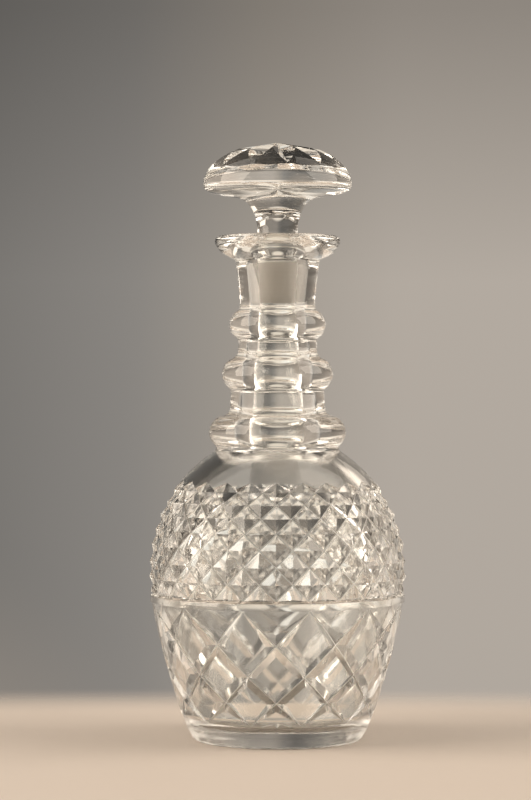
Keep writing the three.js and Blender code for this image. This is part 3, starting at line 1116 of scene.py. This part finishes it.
@dataclass(frozen=True)
class Stopper:
    """The solid stopper: ground peg, stem, flared underside, rim and dome with its star of mitre cuts."""

    lip_height: float
    neck: Neck
    radius: float = 32.7
    stem_height: float = 17.2
    stem_flare: float = 10.8
    stem_slope: float = 0.8
    stem_straight: float = 1
    seat_clearance: float = 0.3
    peg_gap: float = 0.12
    peg_bevel: float = 0.8
    underside_rise: float = 1.6
    underside_border: float = 4.7
    rim_height: float = 3.6
    dome_rise: float = 18.6
    star_border: float = 2.8
    star_point_length: float = 11.5
    star_turn: float = 8
    seat_step: float = 0.6
    seat_ease: float = 0.2
    flare_ease: float = 0.6
    peg_ease: float = 0.4
    peg_top_ease: float = 0.3
    peg_flare: float = 0.03
    peg_flare_height: float = 0.5
    peg_steps: int = 8
    straight_steps: int = 4
    flare_steps: int = 22
    rim_steps: int = 12
    border_steps: int = 6
    ray_steps: int = 7
    halvings: int = 40

    @property
    def seat_top(self) -> float:
        """Height at which the ground seat ends below the mouth."""
        return self.lip_height - self.neck.mouth_depth

    @property
    def tip_radius(self) -> float:
        """Radius of the outer ends of the star's rays."""
        return self.radius - self.star_border

    @property
    def meeting_radius(self) -> float:
        """Radius at which neighbouring rays meet."""
        return self.tip_radius - self.star_point_length

    def dome(self, radius: float) -> float:
        """Height of the dome above the rim at a radius."""
        return self.dome_rise * math.sqrt(1 - (radius / self.radius) ** 2)

    def star_edge(self, offset: float) -> float:
        """Radius at which the flank of a ray comes out of the dome.

        Args:
            offset: Azimuth from the ray's middle.

        Returns:
            The radius.
        """
        slope = (self.dome(self.tip_radius) - self.dome_rise) / self.tip_radius
        meet = math.radians(WEDGE_ANGLE / 2)
        across, along = self.meeting_radius * math.sin(meet), self.meeting_radius * math.cos(meet)
        bank = (self.dome(self.meeting_radius) - self.dome_rise - slope * along) / across
        turn = math.radians(offset)
        low, high = self.meeting_radius / 2, self.tip_radius
        for _ in range(self.halvings):
            radius = (low + high) / 2
            flank = self.dome_rise + radius * (slope * math.cos(turn) + bank * math.sin(turn))
            low, high = (low, radius) if flank > self.dome(radius) else (radius, high)
        return (low + high) / 2

    def stem_outline(self) -> Profile:
        """Draws the stem above the seat, the flared underside and the rim.

        Returns:
            The profile.
        """
        flare_top = self.lip_height + self.stem_height
        under_top = flare_top + self.underside_rise
        stem = self.neck.seat_radius - self.seat_clearance
        line = Profile(self.neck.seat_radius - self.peg_gap, self.seat_top)
        line.line(stem, self.seat_top + self.seat_step).ease(self.seat_ease)
        line.line(stem, self.lip_height + self.stem_straight, self.straight_steps)
        hollow = Vector((stem + self.stem_slope, flare_top - self.stem_slope))
        end = Vector((stem + self.stem_flare, flare_top))
        line.bend(hollow, end, self.flare_steps).ease(self.flare_ease)
        line.line(self.radius - self.underside_border, under_top, self.straight_steps)
        corner = Vector((self.radius, under_top + self.rim_height / 4))
        return line.bend(corner, Vector((self.radius, under_top + self.rim_height)), self.rim_steps)

    def add_dome(self, wedge: Wedge, row: Line, rim: float) -> None:
        """Adds the dome and its star to a wedge.

        Args:
            wedge: Wedge that gets them.
            row: Fine row of points at the rim.
            rim: Height of the rim.
        """
        top_turn = math.acos((self.tip_radius + self.star_border / 8) / self.radius)
        last = self.radius
        for share in shares(self.border_steps)[1:]:
            last = self.radius * math.cos(top_turn * share)
            row = wedge.turn(row, [Vector((last, rim + self.dome(last)))])
        middle = FINE_COLUMNS / 2
        edges = []
        for column in range(FINE_COLUMNS + 1):
            edges.append(self.star_edge(abs(column - middle) * WEDGE_ANGLE / FINE_COLUMNS))
        for share in shares(self.ray_steps)[1:]:
            upper = []
            for column, edge in enumerate(edges):
                radius = mix(last, edge, share)
                upper.append(place(wedge.azimuth(column), radius, rim + self.dome(radius)))
            wedge.join(row, upper)
            row = upper
        wedge.fan(place(0, 0, rim + self.dome_rise), row)

    def build(self, finishes: Finishes) -> Object:
        """Builds the stopper in the space of its solid.

        Args:
            finishes: Material for each finish.

        Returns:
            The piece.
        """
        wedge = Wedge(self.star_turn - WEDGE_ANGLE / 2)
        peg_foot = self.seat_top - self.neck.seat_length
        peg = self.neck.seat_radius - self.neck.seat_taper - self.peg_gap
        bevel = peg_foot + self.peg_bevel
        end = Profile(0, peg_foot)
        end.line(peg - self.peg_bevel, peg_foot, self.straight_steps).ease(self.peg_ease)
        end.line(peg, bevel).ease(self.peg_top_ease)
        end.line(peg + self.peg_flare, bevel + self.peg_flare_height)
        row = wedge.turn(wedge.row(0, peg_foot), end.drawn()[1:])
        side = Profile(*end.end)
        side.line(self.neck.seat_radius - self.peg_gap, self.seat_top, self.peg_steps)
        row = wedge.turn(row, side.drawn()[1:], Finish.GROUND)
        outline = self.stem_outline()
        row = wedge.turn(row, outline.drawn()[1:])
        self.add_dome(wedge, row, outline.end.y)
        piece = WedgeRing().make(wedge, "stopper_glass", finishes)
        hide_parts("stopper")
        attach(piece, "stopper")
        return piece


@dataclass(frozen=True)
class Lamp:
    """A soft box: where it stands, how large it is, how bright its face is, and where it points."""

    name: str
    place_m: Triple
    size_m: Pair
    level: float
    colour: str
    aim_m: Triple = (0.0, 0.0, 0.13)

    def add(self) -> None:
        """Adds the lamp, whose face is as bright as its level, where 1 is white."""
        data = bpy.data.lights.new(self.name, "AREA")
        data.shape = "RECTANGLE"
        data.size, data.size_y = self.size_m
        data.energy = self.level * math.pi * math.prod(self.size_m)
        data.color = linear(self.colour)[:3]
        lamp = add_object(self.name, data)
        lamp.location = self.place_m
        aim = Vector(self.aim_m) - lamp.location
        lamp.rotation_euler = aim.to_track_quat("-Z", "Y").to_euler()
        lamp.visible_camera = False


@dataclass(frozen=True)
class Tone:
    """A soft round area of the backdrop: direction of its middle, angles where it fades, and its colour."""

    name: str
    direction: Triple
    angles: Pair
    colour: str


@dataclass(frozen=True)
class Studio:
    """Pale table top, plain warm grey backdrop, soft boxes and the camera.

    The colours of the backdrop are set by the sine of the direction, to the side and upwards.
    """

    lens_mm: float = 119.25
    sensor_mm: float = 36
    clip_m: float = 0.05
    camera_m: Triple = (-0.0053, -1.166, 0.1553)
    pitch: float = -0.32
    glass_bounces: int = 28
    gloss_bounces: int = 12
    clear_bounces: int = 16
    table_reach_m: float = 1.2
    table_m: Pair = (0.8, 0.46)
    table_middle_m: float = -0.26
    table_fade: Pair = (0.76, 1.0)
    foot_sinks_m: float = 0.0002
    table_colour: str = "#e0d4c9"
    table_roughness: float = 0.9
    table_gloss: float = 0.2
    cloth: Blotches = Blotches(1000 / 18, 3.0)
    cloth_relief: float = 0.3
    cloth_depth_mm: float = 4.0
    side_colours: Ramp = (
        (-1.0, "#b1a497"), (-0.7, "#857c72"), (-0.3, "#7b7873"), (-0.12, "#787571"),
        (-0.05, "#8c8883"), (0.0, "#a69e94"), (0.05, "#b6ada3"), (0.12, "#b7aea4"),
        (0.3, "#b5aca1"), (0.5, "#aea194"), (0.7, "#aea295"), (1.0, "#b1a497"),
    )
    height_colours: Ramp = (
        (-1.0, "#e2e2e2"), (-0.1, "#f7f7f7"), (0.04, "#fafafa"),
        (0.14, "#c8c8c8"), (0.25, "#b1b1b1"), (0.4, "#b5b5b5"),
        (0.55, "#999999"), (0.7, "#595959"), (1.0, "#595959"),
    )
    tones: tuple[Tone, ...] = (
        Tone("cloth beyond the edge", (0.0, 0.0, -1.0), (80.0, 83.5), "#f8ebda"),
        Tone("sunlit cloth behind", (0.225, 0.905, -0.35), (5.0, 12.0), "#fffaf0"),
        Tone("cloth in shade to the left", (-0.22, 0.94, -0.26), (6.0, 14.0), "#9b9186"),
        Tone("pale sky over the wall", (0.0, 0.866, 0.5), (5.0, 13.0), "#eee2d2"),
        Tone("room before the carafe", (0.0, -0.88, 0.47), (20.0, 34.0), "#bcb4aa"),
    )
    light_colour: str = "#8b857e"
    lamps: tuple[Lamp, ...] = (
        Lamp("window left", (-1.47, -0.38, 0.64), (1.33, 1.52), 4.2, "#fff1e0"),
        Lamp("window right", (1.44, -0.24, 0.79), (1.40, 1.21), 3.3, "#fff3e4"),
        Lamp("window right behind", (0.93, 1.08, 0.85), (0.64, 0.39), 1.3, "#fff0de"),
        Lamp("skylight left", (-0.85, 0.21, 1.47), (0.68, 0.82), 1.4, "#fff6ea"),
        Lamp("skylight right", (0.77, 0.21, 1.52), (0.67, 0.84), 1.2, "#fff6ea"),
    )

    def build(self) -> None:
        """Builds the whole stage."""
        self.add_table()
        self.add_backdrop()
        for lamp in self.lamps:
            lamp.add()
        self.add_camera()
        scene = bpy.context.scene
        scene.view_settings.view_transform = "Standard"
        scene.cycles.max_bounces = self.glass_bounces
        scene.cycles.transmission_bounces = self.glass_bounces
        scene.cycles.glossy_bounces = self.gloss_bounces
        scene.cycles.transparent_max_bounces = self.clear_bounces

    def linen(self) -> Material:
        """Makes the table's cloth, which fades away in an oval round the carafe.

        Returns:
            The new material.
        """
        material = bpy.data.materials.new("linen, pressed")
        material.use_nodes = True
        tree = material.node_tree
        tree.nodes.clear()
        spot = add_node(tree, "ShaderNodeTexCoord").outputs["Object"]
        wide, deep = self.table_m
        oval = {"Location": (0.0, -self.table_middle_m / deep, 0.0), "Scale": (1 / wide, 1 / deep, 1.0)}
        away = add_node(tree, "ShaderNodeMapping", {"Vector": spot, **oval})
        distance = add_node(tree, "ShaderNodeVectorMath", {"operation": "LENGTH", 0: away}).outputs["Value"]
        fade = {"Value": distance, 1: self.table_fade[0], 2: self.table_fade[1]}
        fade = add_node(tree, "ShaderNodeMapRange", {"interpolation_type": "SMOOTHSTEP", **fade})
        # The faint folds of pressed linen keep the shadow's edge from looking drawn.
        noise = add_node(tree, "ShaderNodeTexNoise", {"Vector": spot, **self.cloth.values})
        folds = {"Strength": self.cloth_relief, "Distance": self.cloth_depth_mm * MM, "Height": noise}
        cloth = {"Base Color": linear(self.table_colour), "Roughness": self.table_roughness}
        cloth["Specular IOR Level"] = self.table_gloss
        cloth["Normal"] = add_node(tree, "ShaderNodeBump", folds)
        linen = add_node(tree, "ShaderNodeBsdfPrincipled", cloth)
        # From below the cloth is clear, so that the star under the base can be looked at.
        below = add_node(tree, "ShaderNodeNewGeometry").outputs["Backfacing"]
        gone = add_node(tree, "ShaderNodeMath", {"operation": "MAXIMUM", 0: fade, 1: below})
        clear = add_node(tree, "ShaderNodeBsdfTransparent")
        blend = add_node(tree, "ShaderNodeMixShader", {0: gone, 1: linen, 2: clear})
        add_node(tree, "ShaderNodeOutputMaterial", {"Surface": blend})
        return material

    def add_table(self) -> None:
        """Adds the table top, a little under the foot so that the two faces don't fight."""
        mesh = bpy.data.meshes.new("table top")
        reach, level = self.table_reach_m, -self.foot_sinks_m
        corners = [(x * reach, y * reach, level) for x, y in ((-1, -1), (1, -1), (1, 1), (-1, 1))]
        mesh.from_pydata(corners, [], [(0, 1, 2, 3)])
        mesh.materials.append(self.linen())
        table = add_object("table_top", mesh)

    def add_backdrop(self) -> None:
        """Adds the backdrop: one ramp from side to side, shaded by height, with soft tones over it."""
        world = bpy.data.worlds.new("backdrop")
        bpy.context.scene.world = world
        world.use_nodes = True
        tree = world.node_tree
        tree.nodes.clear()
        way = add_node(tree, "ShaderNodeTexCoord").outputs["Generated"]
        parts = add_node(tree, "ShaderNodeSeparateXYZ", {"Vector": way}).outputs
        ramps = []
        for axis, colours in (("X", self.side_colours), ("Z", self.height_colours)):
            share = add_node(tree, "ShaderNodeMapRange", {"Value": parts[axis], 1: -1.0})
            ramps.append(add_node(tree, "ShaderNodeValToRGB", {"Fac": share}))
            stops = ramps[-1].color_ramp.elements
            while len(stops) < len(colours):
                stops.new(0.5)
            for stop, (sine, shade) in zip(stops, colours):
                stop.position = (sine + 1) / 2
                stop.color = linear(shade)
        shaded = {"data_type": "RGBA", "blend_type": "MULTIPLY", 0: 1.0, 6: ramps[0], 7: ramps[1]}
        colour = add_node(tree, "ShaderNodeMix", shaded).outputs[2]
        for tone in self.tones:
            middle = {"operation": "DOT_PRODUCT", 0: way, 1: Vector(tone.direction).normalized()}
            near = add_node(tree, "ShaderNodeVectorMath", middle).outputs["Value"]
            inner, outer = (math.cos(math.radians(angle)) for angle in tone.angles)
            soft = {"interpolation_type": "SMOOTHSTEP", "Value": near, 1: outer, 2: inner}
            share = add_node(tree, "ShaderNodeMapRange", soft)
            over = {"data_type": "RGBA", 0: share, 6: colour, 7: linear(tone.colour)}
            colour = add_node(tree, "ShaderNodeMix", over).outputs[2]
        # The table is lit at a plain level, and what the eye and the glass see is the backdrop itself.
        ray = add_node(tree, "ShaderNodeLightPath").outputs
        eye = {"operation": "ADD", 0: ray["Is Camera Ray"], 1: ray["Is Glossy Ray"]}
        seen = add_node(tree, "ShaderNodeMath", eye)
        through = {"operation": "ADD", "use_clamp": True, 0: seen, 1: ray["Is Transmission Ray"]}
        shown = add_node(tree, "ShaderNodeMath", through)
        either = {"data_type": "RGBA", 0: shown, 6: linear(self.light_colour), 7: colour}
        lit = add_node(tree, "ShaderNodeMix", either).outputs[2]
        background = add_node(tree, "ShaderNodeBackground", {"Color": lit})
        add_node(tree, "ShaderNodeOutputWorld", {"Surface": background})

    def add_camera(self) -> None:
        """Adds the camera at the height and distance that the photograph was taken from."""
        data = bpy.data.cameras.new("camera")
        data.lens = self.lens_mm
        data.sensor_width = self.sensor_mm
        data.clip_start = self.clip_m
        camera = add_object("camera", data)
        camera.location = self.camera_m
        camera.rotation_euler = (math.radians(90 + self.pitch), 0, 0)
        bpy.context.scene.camera = camera


def main() -> None:
    """Builds the stage and the two pieces of glass, and logs how many faces each has."""
    logging.basicConfig(level=logging.INFO, format="%(name)s: %(message)s")
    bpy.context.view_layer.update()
    Studio().build()
    finishes = {
        Finish.POLISHED: PolishedCrystal().make(),
        Finish.GROUND: GroundCrystal().make(),
        Finish.BLOWN: BlownCrystal().make(),
        Finish.WHEELED: WheeledCrystal().make(),
    }
    bottle = Bottle().build(finishes)
    log.info("%s: %d faces", bottle.name, len(bottle.data.polygons))
    lip_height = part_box("bottle")[1][2] / MM
    stopper = Stopper(lip_height, Neck(Body())).build(finishes)
    log.info("%s: %d faces", stopper.name, len(stopper.data.polygons))


if __name__ == "__main__":
    main()
